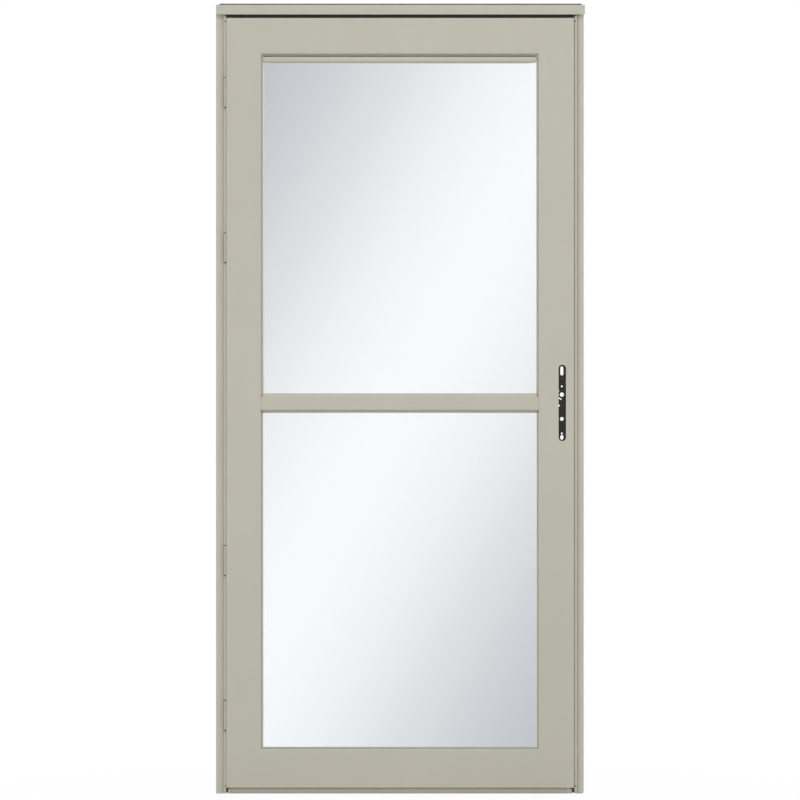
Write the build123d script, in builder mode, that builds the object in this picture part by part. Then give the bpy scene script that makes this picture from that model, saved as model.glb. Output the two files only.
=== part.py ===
"""Storm door with a roll-up insect screen: full-view aluminium leaf, two glass panels and a Z-bar frame.

Millimetres. +X runs from the hinge side to the latch side, -Y faces outdoors, +Z is up.
The origin is on the back face of the hinge-side mounting flange, on its centre line, at its lower end.
"""

from build123d import *
import os

os.makedirs("parts", exist_ok=True)

# Mounting frame
frame_width = 959.6
hinge_flange = 20.0
latch_flange = 17.5
bar_wall = 1.6
bar_height = 2057.2
leg_tip_y = -11.0
stop_back_y = 31.6
stop_width = 16.5
clip_rib_width = 1.2
clip_rib_height = 1.6
cover_front_y = -8.0
cover_flat = 10.0
cover_groove_y = -4.8
cover_wall = 1.3
cover_edge_round = 0.9
foot_radius = 5.6
flange_screw_radius = 2.3
flange_screw_heights = (120.0, 720.0, 1340.0, 1940.0)

# Vinyl seals beside the leaf
seal_joint_heights = (19.5, 2016.0)
seal_joint_gap = 2.0
seal_thickness = 2.0
seal_root = 1.4
seal_root_depth = 7.0
hinge_side_seal_gap = 0.5
latch_side_seal_gap = 1.1
seal_hinge_gap = 2.2
bulb_radius = 2.9
bulb_from_leg = 9.0
bulb_foot_width = 5.0

# Header
header_width = 962.5
header_bottom = 2033.4
header_top = 2059.0
header_front_y = -19.0
header_lip_height = 4.6
header_lip_step = 0.5
header_edge_round = 1.0
header_leg_z = 2030.0
header_stop_depth = 15.0
header_screw_x = (60.0, 340.0, 600.0, 880.0)
header_screw_z = 2046.0
top_seal_y = (-12.0, -2.0)
top_seal_height = 3.0
top_seal_inset = (9.0, 5.6)
pile_y = (-9.0, -1.8)
pile_clearance = 1.4
pile_root = 6.0

# Leaf
leaf_left = 16.6
leaf_width = 908.0
leaf_bottom = 15.5
leaf_height = 2009.0
leaf_front_y = -16.0
leaf_depth = 38.0
leaf_wall = 1.6
edge_round = 1.2
inner_edge_width = 7.8
inner_edge_depth = 0.5
hinge_stile_width = 90.0
latch_stile_width = 92.0
top_rail_width = 92.4
bottom_rail_width = 100.6

# Glazing
trim_width = 5.7
trim_front_y = -14.6
trim_back_y = -6.2
trim_edge = 1.2
trim_lip_width = 1.6
trim_lip_thickness = 2.4
glass_thickness = 4.0
glass_clearance = 0.1
lower_glass_y = -5.6
upper_glass_y = 9.0
glass_edge_cover = 1.5
mid_rail_bottom = 993.4
mid_rail_face_bottom = 1002.0
mid_rail_shoulder = 1035.5
mid_rail_top = 1045.0
mid_rail_front_y = -14.0
mid_rail_foot_y = -4.0
mid_rail_crest_y = -9.5
mid_rail_back_y = 3.0
mid_rail_wall = 1.6
glass_groove_depth = 8.0
retainer_size = 5.0
track_width = 5.4
track_wall = 1.4
track_clearance = 0.8
sash_rail_height = 33.0
sash_top_rail_height = 20.0
sash_gap = 6.0
sash_grip_depth = 4.0

# Roll-up screen
pull_bar_bottom = 1907.4
pull_bar_height = 16.0
pull_bar_front_y = -12.0
pull_bar_depth = 9.0
pull_bar_slope = (4.0, 4.6)
pull_bar_end_cut = (20.0, 2.6)
pull_bar_side_gap = 1.6
tongue_size = (2.0, 6.0)
cassette_outer = 33.0
cassette_wall = 1.4
cassette_corner = 4.0
cassette_mouth = 4.0
roll_radius = 12.5
roll_end_gap = 4.0

# Hinges: axis in the plane of the leaf's front face
hinge_axis_x = 13.3
hinge_axis_y = leaf_front_y
hinge_height = 76.2
hinge_heights = (204.5, 608.7, 1425.3, 1830.2)
knuckle_radius = 3.0
knuckle_gap = 0.4
knuckle_count = 3
knuckle_clearance = 0.6
pin_radius = 1.6
pin_clearance = 0.05
pin_head_height = 1.2
pin_tail = 0.8
hinge_plate = 1.4
hinge_plate_depth = 30.0
hinge_cutout_y = -5.0

# Lock: holes are listed from the top of the case down
cutout_center_x = 893.6
cutout_center_z = 1019.8
cutout_width = 19.3
cutout_height = 199.0
case_left = 876.0
case_bottom = 905.0
case_height = 230.0
case_thickness = 26.0
case_corner = 5.0
lock_hole_x = 892.8
lock_slot_z = 1103.4
lock_slot_size = (23.6, 8.2)
lock_dimple_center = (893.5, 1083.5)
lock_dimple_radius = 3.2
lock_dimple_depth = 0.8
upper_screw_z = 1063.0
upper_screw_radius = 2.65
side_notch_center = (884.6, 1051.2)
side_notch_radius = 1.6
spindle_z = 1041.5
spindle_radius = 5.6
hub_radius = 6.8
hub_groove_radius = 8.1
hub_groove_depth = 1.6
slit_center = (888.0, 1030.8)
slit_size = (9.8, 3.2)
slit_tilt = -27.0
side_hole_center = (885.1, 1012.8)
side_hole_radius = 2.5
lower_spindle_z = 978.0
lower_spindle_radius = 4.9
lower_screw_z = 940.0
lower_screw_radius = 2.6
cylinder_oval_z = 929.8
cylinder_oval_radii = (4.4, 6.2)
faceplate_width = 24.0
faceplate_height = 250.0
faceplate_thickness = 2.5
faceplate_corner = 3.0
bolt_center_z = 1013.0
bolt_height = 25.6
bolt_thickness = 12.6
bolt_pocket_depth = 20.0
bolt_throw = 0.2
bolt_bevel = (2.0, 8.6)
strike_width = 22.8
strike_height = 189.8
strike_center_y = 9.5
strike_slot = (15.0, 32.0)
strike_slot_shift = 2.0

# Bottom sweep
sweep_bottom = 1.4
sweep_front_y = -10.5
sweep_back_y = 16.5
sweep_left = 30.4
sweep_right = 905.2
sweep_top = 60.0
sweep_wall = 1.4
sweep_floor = 6.6
fin_groove_width = 3.0
fin_groove_depth = 3.6
fin_inset = 4.5
fin_thickness = 2.8
fin_tip_z = 0.2
fin_tip_thickness = 1.4
end_cap_left_width = 9.4
end_cap_right_width = 13.2
end_cap_top = 13.0
end_cap_step = 0.6
end_cap_round = 1.5

small_gap = 0.2
beyond = 40.0

# Places worked out from the sizes above
leaf_right = leaf_left + leaf_width
leaf_top = leaf_bottom + leaf_height
leaf_back_y = leaf_front_y + leaf_depth
leaf_middle_y = leaf_front_y + leaf_depth / 2
opening_left = leaf_left + hinge_stile_width
opening_right = leaf_right - latch_stile_width
opening_top = leaf_top - top_rail_width
opening_bottom = leaf_bottom + bottom_rail_width
opening_middle = ((opening_left + opening_right) / 2, leaf_front_y, (opening_bottom + opening_top) / 2)
frame_left = -hinge_flange / 2
frame_right = frame_left + frame_width
hinge_leg_x = frame_left + hinge_flange
latch_leg_x = frame_right - latch_flange
case_middle_z = case_bottom + case_height / 2
case_right = leaf_right - faceplate_thickness - small_gap
case_front_y = leaf_middle_y - case_thickness / 2


def keep(piece, name):
    """Label a finished piece and write it to its own file."""
    piece.part.label = name
    export_step(piece.part, f"parts/{name}.step")


def box_between(low, high, mode=Mode.ADD):
    """Box from its lowest to its highest corner, added to the part in work or cut from it."""
    size = [high[i] - low[i] for i in range(3)]
    center = tuple((high[i] + low[i]) / 2 for i in range(3))
    with Locations(center):
        Box(*size, mode=mode)


def profile(plane, section, length, mode=Mode.ADD):
    """Straight length of a closed section, added to the part in work or cut from it."""
    with BuildSketch(plane) as face:
        with BuildLine():
            Polyline(*section, close=True)
        make_face()
    extrude(face.sketch, amount=length, mode=mode)


def front_plane(y):
    """Plane facing outdoors at depth y: local x is X and local y is Z."""
    return Plane.XZ.offset(-y)


def side_bar(outer_x, inward, flange, name, hinges, has_strike):
    """Z-bar of one jamb: mounting flange, leg into the opening and stop flange behind the leaf."""
    leg_outer = outer_x + inward * (flange - small_gap / 2)
    leg_inner = leg_outer + inward * bar_wall
    stop_tip = leg_outer + inward * stop_width
    outer_rib = outer_x + inward * (cover_wall + small_gap)
    inner_rib = outer_x + inward * (flange - 2 * small_gap - cover_wall - small_gap)
    rib = inward * clip_rib_width
    rib_top = -bar_wall - clip_rib_height
    section = [
        (outer_x, 0),
        (outer_x, -bar_wall),
        (outer_rib, -bar_wall),
        (outer_rib, rib_top),
        (outer_rib + rib, rib_top),
        (outer_rib + rib, -bar_wall),
        (inner_rib - rib, -bar_wall),
        (inner_rib - rib, rib_top),
        (inner_rib, rib_top),
        (inner_rib, -bar_wall),
        (leg_outer, -bar_wall),
        (leg_outer, leg_tip_y),
        (leg_inner, leg_tip_y),
        (leg_inner, stop_back_y - bar_wall),
        (stop_tip, stop_back_y - bar_wall),
        (stop_tip, stop_back_y),
        (leg_outer, stop_back_y),
        (leg_outer, 0),
    ]
    with BuildPart() as bar:
        profile(Plane.XY, section, bar_height)
        stop_x = sorted((leg_inner, stop_tip))
        box_between(
            (stop_x[0], 0, header_leg_z - small_gap),
            (stop_x[1], stop_back_y, bar_height),
            mode=Mode.SUBTRACT,
        )
        for z in flange_screw_heights:
            with Locations(Plane((outer_x + inward * flange / 2, -bar_wall / 2, z), z_dir=(0, -1, 0))):
                Hole(flange_screw_radius)
        leg_x = sorted((leg_outer, leg_inner))
        half_cutout = hinge_height / 2 + seal_hinge_gap
        for z in hinges:
            box_between(
                (leg_x[0], leg_tip_y, z - half_cutout),
                (leg_x[1], hinge_cutout_y, z + half_cutout),
                mode=Mode.SUBTRACT,
            )
        if has_strike:
            cut_foot_corner(outer_x, inward)
            half_width = (strike_width + small_gap) / 2
            half_height = (strike_height + small_gap) / 2
            box_between(
                (leg_x[0], strike_center_y - half_width, case_middle_z - half_height),
                (leg_x[1], strike_center_y + half_width, case_middle_z + half_height),
                mode=Mode.SUBTRACT,
            )
    keep(bar, name)
    return leg_inner


def cut_foot_corner(outer_x, inward):
    """Round off the lower outer corner of a side bar or its cover, seen from the front."""
    with BuildSketch(front_plane(1)) as corner:
        with Locations((outer_x + inward * foot_radius / 2, foot_radius / 2)):
            Rectangle(foot_radius, foot_radius)
        with Locations((outer_x + inward * foot_radius, foot_radius)):
            Circle(foot_radius, mode=Mode.SUBTRACT)
    extrude(corner.sketch, amount=1 - cover_front_y + 1, mode=Mode.SUBTRACT)


def side_cover(outer_x, inward, flange, name, rounded_foot):
    """Clip-on strip that hides the flange screws: a flat face and a slope down to the leaf."""
    inner_x = outer_x + inward * (flange - 2 * small_gap)
    flat_x = outer_x + inward * cover_flat
    base_y = -bar_wall
    wall = inward * cover_wall
    section = [
        (outer_x, base_y),
        (outer_x, cover_front_y),
        (flat_x, cover_front_y),
        (inner_x, cover_groove_y),
        (inner_x, base_y),
        (inner_x - wall, base_y),
        (inner_x - wall, cover_groove_y + cover_wall),
        (flat_x, cover_front_y + cover_wall),
        (outer_x + wall, cover_front_y + cover_wall),
        (outer_x + wall, base_y),
    ]
    with BuildPart() as cover:
        profile(Plane.XY, section, bar_height)
        front_edges = cover.edges().filter_by(Axis.Z).group_by(Axis.Y)[0]
        fillet(front_edges, radius=cover_edge_round)
        if rounded_foot:
            cut_foot_corner(outer_x, inward)
    keep(cover, name)


def side_seals(leg_inner, inward, leaf_edge, gap, hinges, name):
    """Vinyl strip that closes the gap beside the leaf, and the bulb on the stop behind it."""
    strip_edge = leaf_edge - inward * gap
    root_x = leg_inner + inward * seal_root
    strip = [
        (leg_inner, leg_tip_y),
        (strip_edge, leg_tip_y),
        (strip_edge, leg_tip_y + seal_thickness),
        (root_x, leg_tip_y + seal_thickness + seal_root),
        (root_x, leg_tip_y + seal_root_depth),
        (leg_inner, leg_tip_y + seal_root_depth),
    ]
    stop_face_y = stop_back_y - bar_wall
    bulb_x = leg_inner + inward * bulb_from_leg
    gap_x = sorted((leg_inner, leaf_edge))
    gaps = [(z, seal_joint_gap / 2) for z in seal_joint_heights]
    gaps += [(z, hinge_height / 2 + seal_hinge_gap) for z in hinges]
    with BuildPart() as seal:
        profile(Plane.XY.offset(small_gap), strip, header_leg_z - 2 * small_gap)
        for z, half_height in gaps:
            box_between(
                (gap_x[0], leg_tip_y, z - half_height),
                (gap_x[1], leg_tip_y + seal_root_depth, z + half_height),
                mode=Mode.SUBTRACT,
            )
        with BuildSketch(Plane.XY.offset(small_gap)) as bulb:
            with Locations((bulb_x, stop_face_y - bulb_radius / 2)):
                Rectangle(bulb_foot_width, bulb_radius)
            with Locations((bulb_x, stop_face_y - bulb_radius - small_gap)):
                Circle(bulb_radius)
        extrude(bulb.sketch, amount=header_leg_z - 2 * small_gap)
    keep(seal, name)


def header():
    """Drip cap over the leaf, with its flange, leg and stop between the side bars."""
    inner_left = hinge_leg_x + bar_wall + small_gap
    inner_right = latch_leg_x - bar_wall - small_gap
    inner_width = inner_right - inner_left
    face_y = header_front_y + header_lip_step
    lip_top = header_bottom + header_lip_height
    hood = [
        (header_front_y, header_bottom),
        (header_front_y, lip_top),
        (face_y, lip_top + header_lip_step),
        (face_y, header_top),
        (-small_gap, header_top),
        (-small_gap, header_top - bar_wall),
        (face_y + bar_wall, header_top - bar_wall),
        (face_y + bar_wall, header_bottom),
    ]
    z_section = [
        (0, header_top - bar_wall),
        (-bar_wall, header_top - bar_wall),
        (-bar_wall, header_leg_z),
        (stop_back_y - bar_wall, header_leg_z),
        (stop_back_y, header_leg_z),
        (stop_back_y, header_leg_z + bar_wall),
        (0, header_leg_z + bar_wall),
    ]
    with BuildPart() as cap:
        profile(Plane.YZ.offset(frame_left), hood, header_width)
        top_edge = cap.edges().filter_by(Axis.X).group_by(Axis.Z)[-1].sort_by(Axis.Y)[0]
        fillet(top_edge, radius=header_edge_round)
        profile(Plane.YZ.offset(inner_left), z_section, inner_width)
        box_between(
            (inner_left + stop_width, stop_back_y - bar_wall, header_leg_z - header_stop_depth),
            (inner_right - stop_width, stop_back_y, header_leg_z),
        )
        for x in header_screw_x:
            with Locations(Plane((x, -bar_wall / 2, header_screw_z), z_dir=(0, -1, 0))):
                Hole(flange_screw_radius, depth=bar_wall * 2)
    keep(cap, "header_z_bar")

    with BuildPart() as top_seal:
        box_between(
            (frame_left + top_seal_inset[0], top_seal_y[0], header_top),
            (frame_right - top_seal_inset[1], top_seal_y[1], header_top + top_seal_height),
        )
        fillet(top_seal.edges().filter_by(Axis.X).group_by(Axis.Z)[-1], radius=top_seal_height * 0.4)
    keep(top_seal, "header_top_seal")

    with BuildPart() as weatherstrip:
        box_between(
            (leaf_left + small_gap, pile_y[0], leaf_top + pile_clearance),
            (leaf_right - small_gap, pile_y[1], header_leg_z + pile_root),
        )
    keep(weatherstrip, "header_weatherstrip")


def knuckle_spans(center_z):
    """Lower and upper end of each knuckle of one hinge, lowest first."""
    pitch = hinge_height / knuckle_count
    low = center_z - hinge_height / 2
    half_gap = knuckle_gap / 2
    return [(low + i * pitch + half_gap, low + (i + 1) * pitch - half_gap) for i in range(knuckle_count)]


def hinge_leaf(center_z, plate_x, first, name):
    """One leaf of a butt hinge: a plate and every second knuckle round the pin."""
    low = center_z - hinge_height / 2
    plate_front_y = hinge_axis_y + knuckle_radius + knuckle_clearance
    plate_back_y = hinge_axis_y + hinge_plate_depth
    with BuildPart() as leaf:
        box_between((plate_x, plate_front_y, low), (plate_x + hinge_plate, plate_back_y, low + hinge_height))
        for bottom, top in knuckle_spans(center_z)[first::2]:
            with BuildSketch(Plane.XY.offset(bottom)) as knuckle:
                with Locations((hinge_axis_x, hinge_axis_y)):
                    Circle(knuckle_radius)
                with Locations((plate_x + hinge_plate / 2, (hinge_axis_y + plate_front_y) / 2)):
                    Rectangle(hinge_plate, plate_front_y - hinge_axis_y)
                with Locations((hinge_axis_x, hinge_axis_y)):
                    Circle(pin_radius + pin_clearance, mode=Mode.SUBTRACT)
            extrude(knuckle.sketch, amount=top - bottom)
    keep(leaf, name)


def hinge_pins():
    """Four headed pins, one down the knuckles of each hinge."""
    with BuildPart() as pins:
        for center_z in hinge_heights:
            low = center_z - hinge_height / 2
            high = center_z + hinge_height / 2
            head_x = hinge_axis_x + knuckle_radius - small_gap
            half_section = [
                (hinge_axis_x, low - pin_tail),
                (hinge_axis_x + pin_radius, low - pin_tail),
                (hinge_axis_x + pin_radius, high),
                (head_x, high),
                (head_x, high + pin_head_height),
                (hinge_axis_x, high + pin_head_height),
            ]
            with BuildSketch(front_plane(hinge_axis_y)) as half_pin:
                with BuildLine():
                    Polyline(*half_section, close=True)
                make_face()
            revolve(half_pin.sketch, axis=Axis((hinge_axis_x, hinge_axis_y, 0), (0, 0, 1)))
    keep(pins, "hinge_pins")


def member(outline, hollow, name, cut=None):
    """Leaf member: a hollow mitred bar, rounded outside and gently bevelled along the opening."""
    with BuildPart() as bar:
        profile(front_plane(leaf_back_y), outline, leaf_depth)
        front_face = bar.faces().sort_by(Axis.Y)[0]
        square_edges = front_face.edges().filter_by(Axis.X) + front_face.edges().filter_by(Axis.Z)
        by_distance = square_edges.sort_by_distance(opening_middle)
        chamfer(by_distance[0], length=inner_edge_width, length2=inner_edge_depth, reference=front_face)
        fillet(by_distance[1:], radius=edge_round)
        profile(front_plane(leaf_back_y - leaf_wall), hollow, leaf_depth - 2 * leaf_wall, mode=Mode.SUBTRACT)
        if cut:
            cut()
    keep(bar, name)


def cut_lock_openings():
    """Obround windows through both skins, three holes that notch them, and the face plate's slot."""
    for y in (leaf_back_y, leaf_front_y + leaf_wall):
        with BuildSketch(front_plane(y)) as window:
            with Locations((cutout_center_x, cutout_center_z)):
                SlotOverall(cutout_height, cutout_width, rotation=90)
            side_openings(Mode.ADD)
        extrude(window.sketch, amount=leaf_wall, mode=Mode.SUBTRACT)
    half_width = faceplate_width / 2
    half_height = faceplate_height / 2
    box_between(
        (leaf_right - leaf_wall, leaf_middle_y - half_width, case_middle_z - half_height),
        (leaf_right, leaf_middle_y + half_width, case_middle_z + half_height),
        mode=Mode.SUBTRACT,
    )


def side_openings(mode):
    """The notch, slit and hole that lie across the window's hinge-side edge."""
    with Locations(side_notch_center):
        Circle(side_notch_radius, mode=mode)
    with Locations(slit_center):
        SlotOverall(*slit_size, rotation=slit_tilt, mode=mode)
    with Locations(side_hole_center):
        Circle(side_hole_radius, mode=mode)


def cut_screen_slot():
    """Slot along the underside of the top rail for the screen and its pull bar."""
    box_between(
        (opening_left, pull_bar_front_y - knuckle_clearance, opening_top),
        (opening_right, pull_bar_front_y + pull_bar_depth + knuckle_clearance, opening_top + leaf_wall),
        mode=Mode.SUBTRACT,
    )


def cut_sweep_channel():
    """Open underside of the bottom rail, where the sweep slides in."""
    box_between(
        (leaf_left + leaf_wall, leaf_front_y + leaf_wall, leaf_bottom),
        (leaf_right - leaf_wall, leaf_back_y - leaf_wall, leaf_bottom + leaf_wall),
        mode=Mode.SUBTRACT,
    )


def leaf_members():
    """Two stiles and two rails, mitred at 45 degrees through the corners of the opening."""
    w = leaf_wall
    low_left = opening_bottom - hinge_stile_width
    high_left = opening_top + hinge_stile_width
    low_right = opening_bottom - latch_stile_width
    high_right = opening_top + latch_stile_width
    hinge_outline = [
        (leaf_left, low_left),
        (opening_left, opening_bottom),
        (opening_left, opening_top),
        (leaf_left, high_left),
    ]
    hinge_hollow = [
        (leaf_left + w, leaf_bottom - beyond),
        (opening_left - w, leaf_bottom - beyond),
        (opening_left - w, leaf_top + beyond),
        (leaf_left + w, leaf_top + beyond),
    ]
    member(hinge_outline, hinge_hollow, "hinge_stile")
    latch_outline = [
        (leaf_right, low_right),
        (leaf_right, high_right),
        (opening_right, opening_top),
        (opening_right, opening_bottom),
    ]
    latch_hollow = [
        (leaf_right - w, leaf_bottom - beyond),
        (leaf_right - w, leaf_top + beyond),
        (opening_right + w, leaf_top + beyond),
        (opening_right + w, leaf_bottom - beyond),
    ]
    member(latch_outline, latch_hollow, "latch_stile", cut_lock_openings)
    top_outline = [
        (opening_left, opening_top),
        (leaf_left, high_left),
        (leaf_left, leaf_top),
        (leaf_right, leaf_top),
        (leaf_right, high_right),
        (opening_right, opening_top),
    ]
    top_hollow = [
        (leaf_left - beyond, opening_top + w),
        (leaf_left - beyond, leaf_top - w),
        (leaf_right + beyond, leaf_top - w),
        (leaf_right + beyond, opening_top + w),
    ]
    member(top_outline, top_hollow, "top_rail", cut_screen_slot)
    bottom_outline = [
        (opening_left, opening_bottom),
        (opening_right, opening_bottom),
        (leaf_right, low_right),
        (leaf_right, leaf_bottom),
        (leaf_left, leaf_bottom),
        (leaf_left, low_left),
    ]
    bottom_hollow = [
        (leaf_left + w, leaf_bottom + w),
        (leaf_left + w, opening_bottom - w),
        (leaf_right - w, opening_bottom - w),
        (leaf_right - w, leaf_bottom + w),
    ]
    member(bottom_outline, bottom_hollow, "bottom_rail", cut_sweep_channel)


def trim_bar(start, along, inward, length, name, gap=None):
    """Mitred glazing trim: a steep reveal down to a narrow lip beside the glass."""
    depth = trim_back_y - trim_front_y
    section = [
        (0, 0),
        (trim_edge, 0),
        (trim_width - trim_lip_width, depth - trim_lip_thickness),
        (trim_width, depth - trim_lip_thickness),
        (trim_width, depth),
        (0, depth),
    ]
    along = Vector(*along)
    inward = Vector(*inward)
    start = Vector(*start)
    end = start + along * length
    with BuildPart() as bar:
        profile(Plane(origin=start, x_dir=inward, z_dir=along), section, length)
        split(bisect_by=Plane(origin=start, z_dir=along - inward), keep=Keep.TOP)
        split(bisect_by=Plane(origin=end, z_dir=along * -1 - inward), keep=Keep.TOP)
        if gap:
            box_between(*gap, mode=Mode.SUBTRACT)
    keep(bar, name)


def glazing_trim():
    """Four lengths of trim round the whole opening, the upright ones seated round the mid rail."""
    width = opening_right - opening_left
    height = opening_top - opening_bottom
    y = trim_front_y
    rail_gap = (
        (leaf_left, leaf_front_y, mid_rail_bottom),
        (leaf_right, leaf_back_y, mid_rail_shoulder + small_gap),
    )
    trim_bar((opening_left, y, opening_bottom), (0, 0, 1), (1, 0, 0), height, "trim_left", rail_gap)
    trim_bar((opening_left, y, opening_top), (1, 0, 0), (0, 0, -1), width, "trim_top")
    trim_bar((opening_right, y, opening_top), (0, 0, -1), (-1, 0, 0), height, "trim_right", rail_gap)
    trim_bar((opening_right, y, opening_bottom), (-1, 0, 0), (0, 0, 1), width, "trim_bottom")


def mid_rail():
    """Extruded bar across the opening: sloped above and below its face, grooved for the lower glass."""
    left = opening_left + small_gap
    right = opening_right - small_gap
    outline = [
        (mid_rail_front_y, mid_rail_face_bottom),
        (mid_rail_front_y, mid_rail_shoulder),
        (mid_rail_crest_y, mid_rail_top),
        (mid_rail_back_y, mid_rail_top),
        (mid_rail_back_y, mid_rail_bottom),
        (mid_rail_foot_y, mid_rail_bottom),
    ]
    cell_bottom = mid_rail_bottom + glass_groove_depth + mid_rail_wall
    cell = [
        (mid_rail_front_y + mid_rail_wall, cell_bottom),
        (mid_rail_front_y + mid_rail_wall, mid_rail_shoulder),
        (mid_rail_crest_y + mid_rail_wall / 2, mid_rail_top - mid_rail_wall),
        (mid_rail_back_y - mid_rail_wall, mid_rail_top - mid_rail_wall),
        (mid_rail_back_y - mid_rail_wall, cell_bottom),
    ]
    with BuildPart() as rail:
        profile(Plane.YZ.offset(left), outline, right - left)
        profile(Plane.YZ.offset(left), cell, right - left, mode=Mode.SUBTRACT)
        box_between(
            (left, lower_glass_y - glass_clearance, mid_rail_bottom),
            (right, lower_glass_y + glass_thickness + glass_clearance, mid_rail_bottom + glass_groove_depth),
            mode=Mode.SUBTRACT,
        )
        for x in (left, right - trim_width):
            box_between(
                (x, mid_rail_front_y, mid_rail_shoulder),
                (x + trim_width, trim_back_y + small_gap, mid_rail_top),
                mode=Mode.SUBTRACT,
            )
    keep(rail, "mid_rail")


def glass():
    """Two tempered panes: the fixed lower one and the upper one in its sash."""
    left = opening_left + glass_edge_cover
    right = opening_right - glass_edge_cover
    with BuildPart() as lower:
        box_between(
            (left, lower_glass_y, opening_bottom + glass_edge_cover),
            (right, lower_glass_y + glass_thickness, mid_rail_bottom + glass_groove_depth - 1),
        )
    keep(lower, "lower_glass")
    with BuildPart() as upper:
        box_between(
            (left + 1, upper_glass_y, mid_rail_bottom + 2 * sash_gap),
            (right - 1, upper_glass_y + glass_thickness, opening_top - glass_groove_depth),
        )
    keep(upper, "upper_glass")


def lower_glass_retainer():
    """Vinyl strip that holds the lower pane from indoors, on its two sides and its foot."""
    width = opening_right - opening_left
    height = mid_rail_bottom - opening_bottom
    with BuildPart() as retainer:
        with BuildSketch(front_plane(lower_glass_y + glass_thickness + retainer_size)) as ring:
            with Locations((opening_left + width / 2, opening_bottom + height / 2)):
                Rectangle(width, height)
            with Locations((opening_left + width / 2, opening_bottom + height / 2 + retainer_size)):
                Rectangle(width - 2 * retainer_size, height, mode=Mode.SUBTRACT)
        extrude(ring.sketch, amount=retainer_size)
    keep(retainer, "lower_glass_retainer")


def sash_tracks():
    """Channels on both stiles that hold the upper sash by its edges."""
    front = upper_glass_y - track_clearance - track_wall
    back = upper_glass_y + glass_thickness + track_clearance + track_wall
    for name, wall_x, inward in (
        ("sash_track_left", opening_left, 1),
        ("sash_track_right", opening_right, -1),
    ):
        base_x = wall_x + inward * track_wall
        tip_x = wall_x + inward * track_width
        section = [
            (wall_x, front),
            (tip_x, front),
            (tip_x, front + track_wall),
            (base_x, front + track_wall),
            (base_x, back - track_wall),
            (tip_x, back - track_wall),
            (tip_x, back),
            (wall_x, back),
        ]
        with BuildPart() as track:
            profile(Plane.XY.offset(opening_bottom), section, opening_top - opening_bottom)
        keep(track, name)


def sash_rail(low, high, pocket_low, pocket_high, grip_z, name):
    """Channel along one edge of the upper pane, with a grip ledge indoors."""
    half_ledge = track_wall / 2
    front = upper_glass_y - track_clearance - track_wall + small_gap
    back = upper_glass_y + glass_thickness + track_clearance + track_wall
    left = opening_left + sash_gap
    right = opening_right - sash_gap
    with BuildPart() as rail:
        box_between((left, front, low), (right, back, high))
        box_between((left, back, grip_z - half_ledge), (right, back + sash_grip_depth, grip_z + half_ledge))
        box_between(
            (left, upper_glass_y - glass_clearance, pocket_low - glass_clearance),
            (right, upper_glass_y + glass_thickness + glass_clearance, pocket_high + glass_clearance),
            mode=Mode.SUBTRACT,
        )
    keep(rail, name)


def sash_rails():
    """Bottom and top rail of the upper sash."""
    low = mid_rail_bottom + sash_gap
    high = low + sash_rail_height
    sash_rail(low, high, low + sash_gap, mid_rail_top, (low + high) / 2, "sash_bottom_rail")
    high = opening_top - 2
    low = high - sash_top_rail_height
    pane_top = opening_top - glass_groove_depth
    sash_rail(low, high, low - glass_groove_depth, pane_top, low + track_wall, "sash_top_rail")


def screen():
    """Roll-up screen: housing in the top rail and the rolled mesh inside it."""
    mouth_y = pull_bar_front_y + pull_bar_depth / 2
    center_z = opening_top + leaf_wall + 2 + cassette_outer / 2
    left = opening_left + 2
    length = opening_right - opening_left - 4
    with BuildPart() as cassette:
        with BuildSketch(Plane.YZ.offset(left)) as housing:
            with Locations((leaf_middle_y, center_z)):
                RectangleRounded(cassette_outer, cassette_outer, cassette_corner)
                Circle(cassette_outer / 2 - cassette_wall, mode=Mode.SUBTRACT)
            with Locations((mouth_y, center_z - cassette_outer / 2)):
                Rectangle(cassette_mouth, cassette_outer / 2, mode=Mode.SUBTRACT)
        extrude(housing.sketch, amount=length)
    keep(cassette, "screen_cassette")
    with BuildPart() as roll:
        with BuildSketch(Plane.YZ.offset(left + roll_end_gap)) as end:
            with Locations((leaf_middle_y, center_z)):
                Circle(roll_radius)
        extrude(end.sketch, amount=length - 2 * roll_end_gap)
    keep(roll, "screen_roll")


def pull_bar():
    """Grip bar on the screen's free edge: a bar with a sloped grip, cut back at its ends, on a tongue."""
    left = opening_left + trim_width + pull_bar_side_gap
    right = opening_right - trim_width - pull_bar_side_gap
    back_y = pull_bar_front_y + pull_bar_depth
    top_z = pull_bar_bottom + pull_bar_height
    section = [
        (pull_bar_front_y, pull_bar_bottom + pull_bar_slope[1]),
        (pull_bar_front_y, top_z),
        (back_y, top_z),
        (back_y, pull_bar_bottom),
        (pull_bar_front_y + pull_bar_slope[0], pull_bar_bottom),
    ]
    tongue_y = back_y - 1 - tongue_size[0]
    tongue_z = pull_bar_bottom + (pull_bar_height - tongue_size[1]) / 2
    with BuildPart() as bar:
        profile(Plane.YZ.offset(left), section, right - left)
        front_edges = bar.edges().filter_by(Axis.X).group_by(Axis.Y)[0]
        fillet(front_edges, radius=0.8)
        for end, inward in ((left, 1), (right, -1)):
            wedge = [
                (end, pull_bar_bottom),
                (end + inward * pull_bar_end_cut[0], pull_bar_bottom),
                (end, pull_bar_bottom + pull_bar_end_cut[1]),
            ]
            profile(front_plane(back_y), wedge, pull_bar_depth, mode=Mode.SUBTRACT)
        box_between(
            (opening_left + 2, tongue_y, tongue_z),
            (opening_right - 2, tongue_y + tongue_size[0], tongue_z + tongue_size[1]),
        )
    keep(bar, "screen_pull_bar")


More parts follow.
